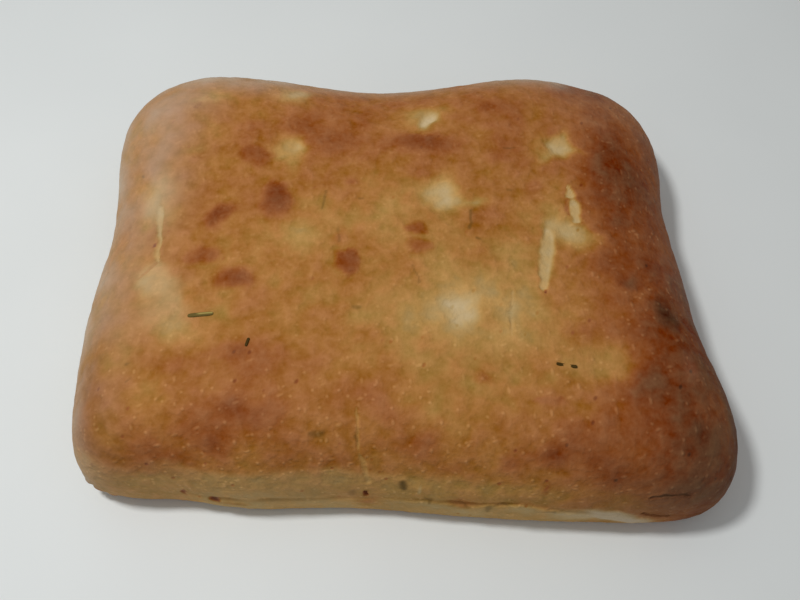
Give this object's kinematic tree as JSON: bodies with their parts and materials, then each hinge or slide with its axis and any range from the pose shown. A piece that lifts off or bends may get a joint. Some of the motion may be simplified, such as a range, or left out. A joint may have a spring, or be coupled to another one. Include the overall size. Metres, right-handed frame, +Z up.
{
  "type": "barley bread",
  "caption": "Flat, pillow-like loaf of barley bread with a golden-brown crust, pale dents and tears, and rosemary needles baked into the top.",
  "frame": {"origin": "on the surface that the loaf rests on, under the middle of its bounding box", "axes": "+X along the loaf's width, to the right of someone facing its steep front side; +Y from the front to the back; +Z up"},
  "size_m": [0.2032, 0.163, 0.0415],
  "materials": {
    "crust": "matte"
  },
  "bodies": {
    "root": {"loaf": "crust"}
  },
  "joints": []
}
